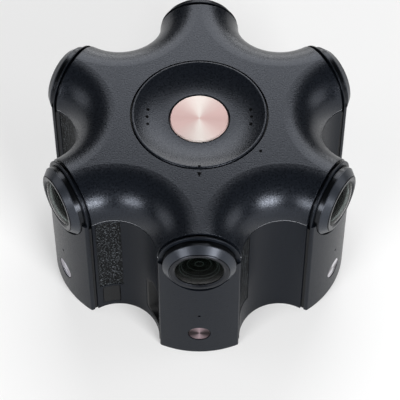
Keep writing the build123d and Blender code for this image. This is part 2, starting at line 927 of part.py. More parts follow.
def make_cover_seat():
    """Cup under the top shell with a broken ledge that the cover's lugs turn under."""
    inner = seat_radius - seat_wall
    bottom = top_z - seat_depth
    with BuildPart() as seat:
        with BuildSketch(Plane.XY.offset(bottom)):
            Circle(seat_radius)
        extrude(amount=seat_depth - wall)
        with BuildSketch(Plane.XY.offset(seat_floor_top)):
            Circle(inner)
        extrude(amount=seat_depth, mode=Mode.SUBTRACT)
        with BuildSketch(Plane.XY.offset(ledge_bottom)):
            Circle(inner)
            Circle(skirt_radius + running_gap, mode=Mode.SUBTRACT)
            lug_sectors(cover_travel, lug_span / lug_count + lug_span, Mode.SUBTRACT)
        extrude(amount=ledge_thickness)
    save(seat, "cover_seat")


def lug_sectors(turn, span, mode):
    """Three even sectors about the axis, added to or taken out of the open sketch."""
    reach = 2 * seat_radius
    half = radians(span / 2)
    for lug in range(lug_count):
        middle = radians(turn + lug * 360 / lug_count)
        with BuildLine() as sector:
            Polyline(
                (0, 0),
                (reach * cos(middle - half), reach * sin(middle - half)),
                (reach * cos(middle + half), reach * sin(middle + half)),
                close=True,
            )
        make_face(sector.edges(), mode=mode)


def make_twist_cover():
    well_outer = button_radius + button_gap + button_well_wall
    rim_bottom = shell_underside + running_gap
    dish_floor = top_z - dish_depth
    underside = dish_floor - cover_skin
    lip = (cover_lip_radius, top_z + cover_lip_rise)
    with BuildPart() as cover:
        with BuildSketch(Plane.XZ):
            with BuildLine():
                outer_low = (cover_radius, rim_bottom)
                outer_high = (cover_radius, top_z + cover_lip_rise - cover_lip)
                Line(outer_low, outer_high)
                TangentArc(outer_high, lip, tangent=(0, 1))
                wall_end = (dish_floor_radius, dish_floor)
                half_way = ((lip[0] + wall_end[0]) / 2, (lip[1] + wall_end[1]) / 2)
                TangentArc(lip, half_way, tangent=(-1, 0))
                TangentArc(wall_end, half_way, tangent=(1, 0))
                Polyline(
                    wall_end,
                    (button_radius + button_gap, dish_floor),
                    (button_radius + button_gap, top_z - button_well_depth + button_well_wall),
                    (button_stem_radius + button_stem_gap, top_z - button_well_depth + button_well_wall),
                    (button_stem_radius + button_stem_gap, top_z - button_well_depth - button_travel),
                    (spring_radius, top_z - button_well_depth - button_travel),
                    (spring_radius, top_z - button_well_depth),
                    (well_outer, top_z - button_well_depth),
                    (well_outer, underside),
                    (dish_floor_radius, underside),
                    (skirt_radius - skirt_wall, dish_floor),
                    (skirt_radius - skirt_wall, lug_bottom),
                    (skirt_radius, lug_bottom),
                    (skirt_radius, rim_bottom),
                    outer_low,
                )
            make_face()
        revolve(axis=Axis.Z)
        with BuildSketch(Plane.XY.offset(lug_bottom)):
            Circle(skirt_radius + lug_reach)
            Circle(skirt_radius - skirt_wall, mode=Mode.SUBTRACT)
            lug_sectors_only()
        extrude(amount=lug_height)
        with BuildSketch(Plane.XY.offset(underside - overrun)):
            indicator_circles(indicator_radius + press_gap)
        extrude(amount=seat_depth, mode=Mode.SUBTRACT)
    save(cover, "twist_cover")


def lug_sectors_only():
    with BuildSketch(mode=Mode.PRIVATE) as sectors:
        lug_sectors(0, lug_span, Mode.ADD)
    add(sectors.sketch, mode=Mode.INTERSECT)


def indicator_circles(radius):
    """Three spots on each side of the dish, in the open sketch."""
    for side in (0, 180):
        with PolarLocations(
            indicator_ring, 3, start_angle=side - indicator_step, angular_range=2 * indicator_step,
            endpoint=True,
        ):
            Circle(radius)


def make_indicators():
    with BuildPart() as indicators:
        with BuildSketch(Plane.XY.offset(top_z - indicator_below_top - indicator_length)):
            indicator_circles(indicator_radius)
        extrude(amount=indicator_length)
    save(indicators, "indicator_lights")


def make_power_button():
    top = top_z - button_below_top
    disc_bottom = top - button_thickness
    with BuildPart() as button:
        with BuildSketch(Plane.XZ):
            with BuildLine():
                Polyline(
                    (0, top),
                    (button_radius - button_bevel, top),
                    (button_radius, top - button_bevel),
                    (button_radius, disc_bottom),
                    (button_stem_radius, disc_bottom),
                    (button_stem_radius, disc_bottom - button_stem_length),
                    (0, disc_bottom - button_stem_length),
                    close=True,
                )
            make_face()
        revolve(axis=Axis.Z)
    save(button, "power_button")


def make_button_spring():
    """Dished spring washer between the button and the floor of its well."""
    high = top_z - button_below_top - button_thickness
    low = top_z - button_well_depth + button_well_wall
    outer = button_radius - button_bevel - spring_wire
    with BuildPart() as spring:
        with BuildSketch(Plane.XZ):
            with BuildLine():
                Polyline(
                    (outer, low),
                    (outer, low + spring_wire),
                    (spring_radius, high),
                    (spring_radius, high - spring_wire),
                    close=True,
                )
            make_face()
        revolve(axis=Axis.Z)
    save(spring, "button_spring")


def make_power_switch():
    stem_bottom = top_z - button_below_top - button_thickness - button_stem_length
    with BuildPart() as switch:
        with BuildSketch(Plane.XY.offset(seat_floor_top)):
            Circle(switch_radius)
        extrude(amount=stem_bottom - button_travel - running_gap - seat_floor_top)
    save(switch, "power_switch")


def make_card_sockets():
    with BuildPart() as sockets:
        with BuildSketch(Plane.XY.offset(seat_floor_top)):
            with PolarLocations(card_socket_ring_radius, arm_count, start_angle=first_arm):
                Rectangle(card_socket_length, card_socket_width)
        extrude(amount=card_socket_height)
        with BuildSketch(Plane.XY.offset(seat_floor_top + card_socket_height / 2)):
            with PolarLocations(card_socket_ring_radius, arm_count, start_angle=first_arm):
                Rectangle(card_slot_height, card_slot_width)
        extrude(amount=card_socket_height, mode=Mode.SUBTRACT)
    save(sockets, "card_sockets")


def make_vent_meshes():
    with BuildPart() as meshes:
        for index in range(arm_count):
            scallop_band(
                index, mesh_start, mesh_end, scallop_radius + mesh_recess,
                scallop_radius + mesh_recess + mesh_thickness, body_base + mesh_bottom_above_base,
                lens_z - mesh_top_below_lens, Mode.ADD,
            )
    save(meshes, "vent_meshes")


def make_port_flap():
    bottom = body_base + flap_bottom_above_base
    with BuildPart() as flap:
        scallop_band(
            arm_count - 1, flap_start, flap_end, scallop_radius, scallop_radius + flap_thickness,
            bottom, bottom + flap_height, Mode.ADD,
        )
        with BuildSketch(hinge_plane(bottom)):
            Circle(flap_thickness / 2)
        extrude(amount=flap_height)
        with BuildSketch(hinge_plane(bottom)):
            Circle(flap_pin_radius + flap_pin_gap)
        extrude(amount=flap_height, mode=Mode.SUBTRACT)
    save(flap, "port_flap")


def make_flap_pin():
    with BuildPart() as pin:
        with BuildSketch(hinge_plane(body_base + flap_bottom_above_base - flap_pin_reach)):
            Circle(flap_pin_radius)
        extrude(amount=flap_height + 2 * flap_pin_reach)
    save(pin, "port_flap_pin")


def make_usb_socket():
    with BuildPart() as socket:
        with BuildSketch(socket_plane(scallop_radius + wall)):
            Rectangle(usb_body_width, usb_body_height)
        extrude(amount=usb_body_depth)
        with BuildSketch(socket_plane(scallop_radius + wall)):
            Rectangle(usb_width, usb_height)
        extrude(amount=usb_body_depth - usb_shell, mode=Mode.SUBTRACT)
    save(socket, "usb_socket")


def make_port_bay():
    with BuildPart() as bay:
        with BuildSketch(bay_plane(bay_floor_at)):
            bay_outline(0)
        extrude(amount=scallop_ring_radius)
        with BuildSketch(bay_plane(bay_floor_at + bay_floor)):
            bay_outline(-bay_wall)
        extrude(amount=scallop_ring_radius, mode=Mode.SUBTRACT)
        with BuildSketch(bay_plane(bay_floor_at)):
            with Locations((0, network_above_base)):
                Rectangle(network_width, network_height)
            with Locations((0, inlet_above_base)):
                Circle(inlet_radius)
        extrude(amount=bay_floor, mode=Mode.SUBTRACT)
        with BuildSketch(turned_plan(flap_scallop, body_base)):
            with Locations((scallop_ring_radius, 0)):
                Circle(scallop_radius + strip_recess)
        extrude(amount=lens_above_base, mode=Mode.SUBTRACT)
        with BuildSketch(Plane.XY.offset(body_base)):
            with Locations((-scallop_ring_radius, -bay_centre)):
                Rectangle(scallop_ring_radius, scallop_ring_radius)
        extrude(amount=lens_above_base, mode=Mode.SUBTRACT)
    save(bay, "port_bay")


def make_bay_socket(label, above_base, body, opening, body_depth, opening_depth):
    """Socket block behind the bay's floor: its outline and opening are drawn by two calls."""
    with BuildPart() as socket:
        with BuildSketch(bay_plane(bay_floor_at)):
            with Locations((0, above_base)):
                body()
        extrude(amount=-body_depth)
        with BuildSketch(bay_plane(bay_floor_at)):
            with Locations((0, above_base)):
                opening()
        extrude(amount=-opening_depth, mode=Mode.SUBTRACT)
    save(socket, label)


os.makedirs("parts", exist_ok=True)
make_top_shell()
make_lower_shell()
make_parting_strips()
for arm in range(arm_count):
    make_end_panel(arm)
    make_lens_module(arm)
make_badges()
make_inner_lenses()
make_sensor_boards()
make_core_frame()
make_battery()
make_main_board()
make_heat_sink()
make_fan_frame()
make_fan_rotor()
make_base_plate()
make_base_screws()
make_tripod_bush()
make_feet()
make_cover_seat()
make_twist_cover()
make_indicators()
make_power_button()
make_button_spring()
make_power_switch()
make_card_sockets()
make_vent_meshes()
make_port_flap()
make_flap_pin()
make_usb_socket()
make_port_bay()
make_bay_socket(
    "network_socket", network_above_base,
    lambda: Rectangle(network_body_width, network_body_height),
    lambda: Rectangle(network_width, network_height),
    network_body_depth, network_depth,
)
make_bay_socket(
    "power_inlet", inlet_above_base,
    lambda: Circle(inlet_body_radius),
    lambda: Circle(inlet_radius),
    inlet_body_depth, inlet_depth,
)
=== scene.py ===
# %% [markdown]
# # A panoramic camera with six lenses
# The camera is a star-shaped body with a fisheye lens on the end of each of its six arms. A dished round
# cover with a pale copper button sits on top. The solids come packed from the CAD model and stay as they
# are. This script gives each of them a finish and adds the small pieces that CAD leaves out.
# Lengths are in metres. +Z is up, and the front arm points to -Y.

from math import atan, atan2, cos, pi, radians, sin, sqrt

import bpy
from mathutils import Matrix, Vector


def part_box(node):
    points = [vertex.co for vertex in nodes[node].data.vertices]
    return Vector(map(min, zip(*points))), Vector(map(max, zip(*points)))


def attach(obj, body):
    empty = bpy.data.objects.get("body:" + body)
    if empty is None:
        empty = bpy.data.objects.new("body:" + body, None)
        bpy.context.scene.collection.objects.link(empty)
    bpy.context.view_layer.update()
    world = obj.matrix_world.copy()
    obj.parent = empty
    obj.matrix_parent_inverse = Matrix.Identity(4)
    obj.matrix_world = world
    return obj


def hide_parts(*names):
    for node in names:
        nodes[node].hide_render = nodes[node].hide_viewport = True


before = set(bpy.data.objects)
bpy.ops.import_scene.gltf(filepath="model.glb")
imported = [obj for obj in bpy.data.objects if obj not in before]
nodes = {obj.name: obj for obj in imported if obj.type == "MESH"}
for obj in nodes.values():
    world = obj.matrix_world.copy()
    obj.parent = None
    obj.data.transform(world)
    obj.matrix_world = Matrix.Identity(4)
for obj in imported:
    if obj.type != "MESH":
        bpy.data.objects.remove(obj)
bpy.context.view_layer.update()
mm = 0.001

# %% [markdown]
# ## Sizes read from the solids
# The new pieces have to fit the solids. Their places could be typed in as numbers, but the boxes of the CAD
# nodes give them exactly, and the pieces then follow the CAD when it changes.

# %% Measure the solids
arm_names = ("front", "front_right", "back_right", "back", "back_left", "front_left")
arm_angles = {name: -90 + 60 * index for index, name in enumerate(arm_names)}
_, shell_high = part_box("top_shell")
barrel_low, barrel_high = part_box("lens_barrel_front")
top_z = shell_high.z
lens_z = (barrel_low.z + barrel_high.z) / 2
print(f"top at {top_z / mm:.1f} mm, lens axes at {lens_z / mm:.1f} mm")

# %% [markdown]
# ## Camera
# The photograph looks down about 54 degrees from 1.2 m away with a long lens, so far and near arms are
# nearly the same size. A camera can be aimed by eye. These numbers come from a fit instead, of the cover's
# seam, the lens rings and the corners of the arms, because an eye can't tell a long lens far away from a
# shorter one close by. The object sits a fraction of a pixel left of the picture's middle.

# %% Place the camera
image_size = 400
sensor_width = 36
focal_pixels = 1907.8
pitch = radians(54.25)
distance = 1.2
look_at = Vector((0, 0, 26.72 * mm))
centre_pixel = 199.3

camera_data = bpy.data.cameras.new("camera")
camera_data.lens = focal_pixels / image_size * sensor_width
camera_data.sensor_width = sensor_width
camera_data.shift_x = (image_size / 2 - centre_pixel) / image_size
camera_data.clip_start = 0.01
camera = bpy.data.objects.new("camera", camera_data)
camera.location = look_at + Vector((0, -cos(pitch), sin(pitch))) * distance
camera.rotation_euler = (pi / 2 - pitch, 0, 0)
bpy.context.collection.objects.link(camera)
bpy.context.scene.camera = camera
bpy.context.scene.view_settings.view_transform = "Standard"
print(f"lens {camera_data.lens:.1f} mm, {distance} m away")

# %% [markdown]
# ## Colours and shader nodes
# Colours are written as the hex codes that a paint program shows, while Blender reckons with linear light,
# so every code goes through one function. Nodes could be wired line by line. A helper that adds a node and
# fills its inputs in one call keeps each material short enough to read.

# %% Helpers for colours and nodes
def linear(hex_colour):
    """An sRGB colour such as "3a3e46" as linear red, green, blue and an alpha of 1."""
    parts = [int(hex_colour[i : i + 2], 16) / 255 for i in (0, 2, 4)]
    return tuple(c / 12.92 if c <= 0.04045 else ((c + 0.055) / 1.055) ** 2.4 for c in parts) + (1,)


def add_node(tree, kind, settings=None, **inputs):
    """Add a node, set its settings, and fill or link its inputs.

    Inputs go by name with underscores for spaces, or by place with an underscore before the number.
    """
    node = tree.nodes.new(kind)
    for key, value in (settings or {}).items():
        setattr(node, key, value)
    for key, value in inputs.items():
        socket = node.inputs[int(key[1:])] if key[1:].isdigit() else node.inputs[key.replace("_", " ")]
        if isinstance(value, bpy.types.NodeSocket):
            tree.links.new(value, socket)
        else:
            socket.default_value = value
    return node


def new_material(name):
    """A material with nothing in its node tree."""
    material = bpy.data.materials.new(name)
    material.use_nodes = True
    material.node_tree.nodes.clear()
    return material


print("the hex code 808080 is", round(linear("808080")[0], 3), "in linear light")

# %% [markdown]
# ## Floor
# The photograph's ground is white paper. Paint alone could make it white, but bright paper also lights the
# dark walls from below, more than in the photograph. So the paint is a pale grey, and a glow that only the
# camera, mirrors and glass can see lifts it back to white. The shadow stays, because the glow is even.

# %% Lay the floor
floor_size, glow_strength = 12, 0.3
floor_material = new_material("white_floor")
tree = floor_material.node_tree
paper = add_node(tree, "ShaderNodeBsdfDiffuse", Color=linear("cacaca")).outputs[0]
path = add_node(tree, "ShaderNodeLightPath").outputs
seen = add_node(
    tree, "ShaderNodeMath", {"operation": "MAXIMUM"}, _0=path["Is Camera Ray"], _1=path["Is Glossy Ray"]
).outputs[0]
seen = add_node(
    tree, "ShaderNodeMath", {"operation": "MAXIMUM"}, _0=seen, _1=path["Is Transmission Ray"]
).outputs[0]
lift = add_node(tree, "ShaderNodeMath", {"operation": "MULTIPLY"}, _0=seen, _1=glow_strength).outputs[0]
glow = add_node(tree, "ShaderNodeEmission", Color=linear("ffffff"), Strength=lift).outputs[0]
both = add_node(tree, "ShaderNodeAddShader", _0=paper, _1=glow).outputs[0]
add_node(tree, "ShaderNodeOutputMaterial", Surface=both)
bpy.ops.mesh.primitive_plane_add(size=floor_size, location=(0, 0, 0))
floor = bpy.context.object
floor.name = "floor"
floor.data.materials.append(floor_material)
print("floor", floor_size, "m wide")

# %% [markdown]
# ## Light
# Dark plastic shows mostly the mirror images of the lamps, so a studio lights it with large soft boxes. One
# sky-wide light would be simpler, but it leaves no dark bands. Here two boxes behind, one high and one low,
# lay a sheen over the flat top and the front of the bowl. Two low in front make the soft highlights in the
# saddles, and one on each side lights the flanks. Straight overhead stays dark, which gives the dark bands
# along the upper edge of each saddle.

# %% Hang the lamps
world = bpy.data.worlds.new("studio")
bpy.context.scene.world = world
world.use_nodes = True
world.node_tree.nodes["Background"].inputs["Color"].default_value = linear("ffffff")
world.node_tree.nodes["Background"].inputs["Strength"].default_value = 0.05


def add_lamp(name, azimuth, elevation, away, width, height, watts):
    """A soft box on a sphere round the object, facing its middle. Angles are in degrees."""
    data = bpy.data.lights.new(name, "AREA")
    data.shape = "RECTANGLE"
    data.size, data.size_y, data.energy = width, height, watts
    lamp = bpy.data.objects.new(name, data)
    level = cos(radians(elevation))
    towards = Vector(
        (level * cos(radians(azimuth)), level * sin(radians(azimuth)), sin(radians(elevation)))
    )
    lamp.location = look_at + towards * away
    lamp.rotation_euler = towards.to_track_quat("Z", "Y").to_euler()
    bpy.context.collection.objects.link(lamp)


add_lamp("back_box", 85, 40, 1.6, 1.2, 0.9, 17)
add_lamp("back_low_box", 85, 9, 1.8, 1.2, 0.5, 7)
add_lamp("front_left_box", -125, 20, 1.5, 0.7, 0.45, 15)
add_lamp("front_right_box", -60, 20, 1.5, 0.7, 0.45, 28)
add_lamp("left_box", 175, 22, 1.5, 0.7, 0.7, 3.5)
add_lamp("right_box", 5, 22, 1.5, 0.7, 0.7, 4)
print(len(bpy.data.lights), "lamps")

# %% [markdown]
# ## Finishes
# A real moulding tool is spark-eroded, which leaves a fine sandy grain on the plastic. Grain could be
# modelled, but it would take millions of faces. A bump driven by noise bends the light in the same way, and
# the same noise changes the gloss and the tone a little. Object coordinates keep the pattern on the piece
# when it moves.

# %% Helpers for finishes
def noise_of(tree, place, size, detail=2.0):
    """Soft noise whose patches are about this many metres across."""
    return add_node(
        tree, "ShaderNodeTexNoise", Vector=place, Scale=1 / size, Detail=detail, Roughness=0.6
    ).outputs[0]


def surface(name, colour, rough, grain, depth, rough_change=0.0, shade=0.0, bevel=0, **shader):
    """A solid finish with a fine grain: grain is its size in metres, depth its height in metres."""
    material = new_material(name)
    tree = material.node_tree
    place = add_node(tree, "ShaderNodeTexCoord").outputs["Object"]
    noise = noise_of(tree, place, grain)
    normal = {}
    if bevel:
        normal["Normal"] = add_node(tree, "ShaderNodeBevel", {"samples": 4}, Radius=bevel).outputs[0]
    bump = add_node(tree, "ShaderNodeBump", Strength=1.0, Distance=depth, Height=noise, **normal)
    inputs = {"Base_Color": linear(colour), "Roughness": rough, "Normal": bump.outputs[0]}
    if rough_change:
        inputs["Roughness"] = add_node(
            tree, "ShaderNodeMapRange", Value=noise, From_Min=0.3, From_Max=0.7,
            To_Min=rough - rough_change, To_Max=rough + rough_change,
        ).outputs[0]
    if shade:
        lighter = tuple(min(1, c * (1 + shade)) for c in linear(colour)[:3]) + (1,)
        darker = tuple(c * (1 - shade) for c in linear(colour)[:3]) + (1,)
        inputs["Base_Color"] = add_node(
            tree, "ShaderNodeMix", {"data_type": "RGBA"}, _0=noise, _6=darker, _7=lighter
        ).outputs[2]
    inputs.update(shader)
    plastic = add_node(tree, "ShaderNodeBsdfPrincipled", **inputs)
    add_node(tree, "ShaderNodeOutputMaterial", Surface=plastic.outputs[0])
    return material


def give(material, *names):
    """Set a finish on CAD nodes, named in full or by a prefix that ends in an underscore."""
    count = 0
    for name, piece in nodes.items():
        if any(name == n or (n.endswith("_") and name.startswith(n)) for n in names):
            piece.data.materials.clear()
            piece.data.materials.append(material)
            count += 1
    print(material.name, "on", count, "nodes")


# %% [markdown]
# ### Body
# Top shell, end panels and lower shell are one charcoal colour in the photograph, but the upright faces
# are duller. Grains shade one another, so grained plastic mirrors less than a polished face would. A lower
# IOR and specular level stand for that, lowest on the walls. Darkening the colour instead would have
# changed little, since it is nearly black already.

# %% Charcoal plastic, black inner parts and the bright strips
cool = (0.8, 0.86, 1.0, 1)
body_colour, body_grain, body_relief = "0d1015", 1.0 * mm, 0.075 * mm
charcoal = surface(
    "charcoal_plastic", body_colour, 0.3, body_grain, body_relief, rough_change=0.07, shade=0.8,
    bevel=0.35 * mm, IOR=1.25, Specular_IOR_Level=1.0, Specular_Tint=cool,
)
give(charcoal, "top_shell")
panel_plastic = surface(
    "drier_panel_plastic", body_colour, 0.34, body_grain, body_relief, rough_change=0.07, shade=0.8,
    bevel=0.35 * mm, IOR=1.25, Specular_IOR_Level=0.5, Specular_Tint=cool,
)
give(panel_plastic, "end_panel_")
wall_plastic = surface(
    "driest_wall_plastic", body_colour, 0.36, body_grain, body_relief, rough_change=0.07, shade=0.8,
    bevel=0.35 * mm, IOR=1.25, Specular_IOR_Level=0.3, Specular_Tint=cool,
)
give(wall_plastic, "lower_shell")
black = surface("black_plastic", "08090b", 0.5, grain=0.5 * mm, depth=0.01 * mm, rough_change=0.06,
                Specular_IOR_Level=0.3)
give(black, "cover_seat", "fan_frame", "fan_rotor", "port_bay", "card_sockets", "power_switch")
strip = surface("strip_metal", "c9ccd2", 0.25, grain=0.3 * mm, depth=0.003 * mm, rough_change=0.06,
                Metallic=1.0)
give(strip, "parting_strips")

# %% [markdown]
# ### Lens fittings
# The barrel is turned aluminium in a deep black paint, the bezel is a satin dark grey, and the retaining
# ring is black anodised. All three could share one black, but in the photograph their gloss differs more
# than their colour, so each has its own roughness.

# %% Paints of the barrel, bezel and ring
gloss = surface("gloss_black_paint", "050607", 0.24, grain=1.5 * mm, depth=0.004 * mm, rough_change=0.04,
                bevel=0.2 * mm, IOR=1.3, Specular_IOR_Level=0.55, Specular_Tint=cool)
give(gloss, "lens_barrel_")
satin = surface("satin_grey_paint", "1f2227", 0.3, grain=0.4 * mm, depth=0.006 * mm, rough_change=0.05,
                bevel=0.2 * mm, IOR=1.3, Specular_IOR_Level=0.6, Specular_Tint=cool)
give(satin, "lens_bezel_")
ring_black = surface("ring_anodised", "0c0d10", 0.26, grain=0.4 * mm, depth=0.004 * mm,
                     rough_change=0.05, bevel=0.15 * mm, IOR=1.3, Specular_IOR_Level=0.55,
                     Specular_Tint=cool)
give(ring_black, "retaining_ring_")

# %% [markdown]
# ### Glass
# Lens glass is coated in thin layers, so it mirrors far less than bare glass and tints what it mirrors. The
# layers could be worked out wave by wave. A low IOR with a tinted reflection looks the same at this size.
# A dark tint in the front lens, and a darker one in the inner glass, is painted shade: it keeps the bore
# behind dim, where the real bore is dim from its own shade.

# %% Coated glass
def coated_glass(name, tint, coating, gleam, ior):
    """Coated optical glass. The coating sets the colour and strength of what little it reflects."""
    material = new_material(name)
    tree = material.node_tree
    place = add_node(tree, "ShaderNodeTexCoord").outputs["Object"]
    dust = add_node(
        tree, "ShaderNodeMapRange", Value=noise_of(tree, place, 3 * mm), From_Min=0.3, From_Max=0.7,
        To_Min=0.0, To_Max=0.01,
    ).outputs[0]
    pane = add_node(
        tree, "ShaderNodeBsdfPrincipled", Base_Color=linear(tint), Roughness=dust, IOR=ior,
        Transmission_Weight=1.0, Specular_IOR_Level=gleam, Specular_Tint=linear(coating),
    )
    add_node(tree, "ShaderNodeOutputMaterial", Surface=pane.outputs[0])
    return material


# Painted shade: both tints darken all that is seen through the glass.
glass = coated_glass("coated_front_glass", "5e6664", "b8d8c4", 0.3, 1.1)
give(glass, "front_lens_")
inner_glass = coated_glass("coated_inner_glass", "39403a", "e8dcc0", 1.0, 1.5)
give(inner_glass, "inner_lenses")

# %% [markdown]
# ### Spun metal
# The button and the badges are aluminium discs, faced on a lathe and anodised. The tool leaves fine rings
# round the middle, which draw light out into rays. Thousands of modelled rings would do that too. An
# anisotropic finish does it with none: its tangent runs along the rings, and is worked out from the disc's
# own middle and axis. The colour also changes round the middle, as painted reflections: lighter and darker
# sectors that stand for the rays which the lamps draw out on turned discs.

# %% Spun finish round a middle and an axis
def spun_metal(name, colour, painted_reflection_colour, centre, axis, across, rough, reach):
    """Spun metal with painted reflections round its middle: painted_reflection_colour lies where the rings
    run along across.
    """
    material = new_material(name)
    tree = material.node_tree
    place = add_node(tree, "ShaderNodeTexCoord").outputs["Object"]
    away = add_node(
        tree, "ShaderNodeVectorMath", {"operation": "SUBTRACT"}, _0=place, _1=tuple(centre)
    ).outputs[0]
    round_it = add_node(
        tree, "ShaderNodeVectorMath", {"operation": "CROSS_PRODUCT"}, _0=tuple(axis), _1=away
    ).outputs[0]
    tangent = add_node(
        tree, "ShaderNodeVectorMath", {"operation": "NORMALIZE"}, _0=round_it
    ).outputs[0]
    far = add_node(tree, "ShaderNodeVectorMath", {"operation": "LENGTH"}, _0=round_it).outputs[1]
    rings = add_node(
        tree, "ShaderNodeTexNoise", {"noise_dimensions": "1D"}, W=far, Scale=1 / (0.12 * mm), Detail=1.0
    ).outputs[0]
    # Painted reflection: noise round the middle and the ring direction mix a second colour into the base
    # colour, for the light and dark rays that lamps draw out on spun metal.
    rays = add_node(
        tree, "ShaderNodeTexNoise", Vector=tangent, Scale=3.0, Detail=3.0, Roughness=0.7
    ).outputs[0]
    along = add_node(
        tree, "ShaderNodeVectorMath", {"operation": "DOT_PRODUCT"}, _0=tangent, _1=tuple(across)
    ).outputs[1]
    along = add_node(tree, "ShaderNodeMath", {"operation": "ABSOLUTE"}, _0=along).outputs[0]
    uneven = add_node(
        tree, "ShaderNodeMath", {"operation": "MULTIPLY_ADD"}, _0=rays, _1=0.3, _2=along
    ).outputs[0]
    spread = add_node(
        tree, "ShaderNodeMapRange", Value=uneven, From_Min=1.15 - reach, From_Max=1.15
    ).outputs[0]
    shade = add_node(
        tree, "ShaderNodeMix", {"data_type": "RGBA"}, _0=spread, _6=linear(colour), _7=linear(painted_reflection_colour)
    ).outputs[2]
    bump = add_node(
        tree, "ShaderNodeBump", Strength=0.5, Distance=0.004 * mm, Height=rings
    ).outputs[0]
    metal = add_node(
        tree, "ShaderNodeBsdfPrincipled", Base_Color=shade, Metallic=1.0, Roughness=rough,
        Anisotropic=0.8, Tangent=tangent, Normal=bump,
    )
    add_node(tree, "ShaderNodeOutputMaterial", Surface=metal.outputs[0])
    return material


_, button_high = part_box("power_button")
button_middle = Vector((0, 0, button_high.z))
# The pinker colour at the button's sides is a painted reflection.
copper = spun_metal(
    "spun_copper_button", "a59e9a", "9e8683", button_middle, (0, 0, 1), (0, 1, 0), 0.38, 0.9
)
give(copper, "power_button")

# %% [markdown]
# ### Mesh
# The vents are covered by a coarse black acoustic mesh that glints here and there. Single threads are too
# fine for the picture, so noise stands for the knots: its peaks stand out a little and are painted lighter,
# as painted glints.

# %% Acoustic mesh
mesh_black = new_material("acoustic_mesh")
tree = mesh_black.node_tree
place = add_node(tree, "ShaderNodeTexCoord").outputs["Object"]
knots = noise_of(tree, place, 0.75 * mm, detail=1.0)
# Painted glints: the noise's peaks get a lighter grey in the mesh's colour.
painted_glint = add_node(tree, "ShaderNodeMapRange", Value=knots, From_Min=0.58, From_Max=0.66).outputs[0]
thread_and_painted_glint = add_node(
    tree, "ShaderNodeMix", {"data_type": "RGBA"}, _0=painted_glint, _6=linear("040506"), _7=linear("4a4e52")
).outputs[2]
relief = add_node(tree, "ShaderNodeBump", Strength=1.0, Distance=0.3 * mm, Height=knots).outputs[0]
weave = add_node(
    tree, "ShaderNodeBsdfPrincipled", Base_Color=thread_and_painted_glint, Roughness=0.5, IOR=1.2, Specular_IOR_Level=0.3,
    Normal=relief,
)
add_node(tree, "ShaderNodeOutputMaterial", Surface=weave.outputs[0])
give(mesh_black, "vent_meshes")

# %% [markdown]
# ### Rubber and the inside
# The feet and the flap are rubber. Inside are cast and sheet metal, circuit boards and a wrapped battery.
# They show only through the lenses, the ports and the slots in the base, so one plain finish for each
# material is enough.

# %% Rubber, castings, boards and steel
rubber = surface("soft_rubber", "0c0d0f", 0.6, grain=0.6 * mm, depth=0.02 * mm, rough_change=0.06,
                 bevel=0.3 * mm, IOR=1.3, Specular_IOR_Level=0.5)
give(rubber, "base_feet", "port_flap")
casting = surface("cast_aluminium", "85888c", 0.42, grain=0.5 * mm, depth=0.02 * mm, rough_change=0.1,
                  Metallic=1.0)
give(casting, "heat_sink")
frame_black = surface("black_anodised_casting", "0a0b0c", 0.5, grain=0.5 * mm, depth=0.02 * mm,
                      rough_change=0.1, Specular_IOR_Level=0.2)
give(frame_black, "core_frame")
plate = surface("black_coated_plate", "16181b", 0.45, grain=0.5 * mm, depth=0.02 * mm, rough_change=0.08)
give(plate, "base_plate")
board = surface("circuit_board", "10462c", 0.35, grain=1.5 * mm, depth=0.02 * mm, shade=0.3)
give(board, "main_board")
sensor = surface("sensor_black", "060a0a", 0.3, grain=0.6 * mm, depth=0.004 * mm, shade=0.3,
                 Specular_IOR_Level=0.2)
give(sensor, "sensor_boards")
cell = surface("battery_wrap", "26304a", 0.3, grain=4 * mm, depth=0.05 * mm, shade=0.15)
give(cell, "battery_pack")
steel = surface("plain_steel", "a5a7a8", 0.3, grain=0.3 * mm, depth=0.004 * mm, rough_change=0.08,
                Metallic=1.0)
give(steel, "base_screws", "tripod_bush", "port_flap_pin", "button_spring", "usb_socket",
     "network_socket", "power_inlet")

# %% [markdown]
# ## Small new pieces
# Each kind of piece is modelled once at the origin, facing up, by extruding and insetting a simple shape.
# Six badges could share one mesh, but a library part needs pieces that stand alone. So each copy gets a
# mesh of its own and is set in place, with its place worked into the mesh.

# %% Helpers for modelling
def pick(rule):
    """In edit mode, pick the faces for which a rule holds and no others."""
    piece = bpy.context.object
    bpy.ops.mesh.select_mode(type="FACE")
    bpy.ops.mesh.select_all(action="DESELECT")
    bpy.ops.object.mode_set(mode="OBJECT")
    for face in piece.data.polygons:
        face.select = rule(face)
    bpy.ops.object.mode_set(mode="EDIT")


def is_top(face):
    """Faces that look straight up."""
    return face.normal.z > 0.99


def raised_disc(radius, height, corners, chamfer, rim=0, sunk=0):
    """A disc that stands on z = 0 with a chamfered edge. With a rim, its face is sunk inside it."""
    bpy.ops.mesh.primitive_cylinder_add(
        vertices=corners, radius=radius, depth=height - chamfer, location=(0, 0, (height - chamfer) / 2)
    )
    bpy.ops.object.transform_apply(location=True)
    bpy.ops.object.mode_set(mode="EDIT")
    pick(is_top)
    bpy.ops.mesh.extrude_region_move(TRANSFORM_OT_translate={"value": (0, 0, chamfer)})
    shrink = 1 - chamfer / radius
    bpy.ops.transform.resize(value=(shrink, shrink, 1))
    if rim:
        bpy.ops.mesh.inset(thickness=rim)
        bpy.ops.transform.translate(value=(0, 0, -sunk))
        bpy.ops.mesh.inset(thickness=rim)
    bpy.ops.object.mode_set(mode="OBJECT")
    return bpy.context.object


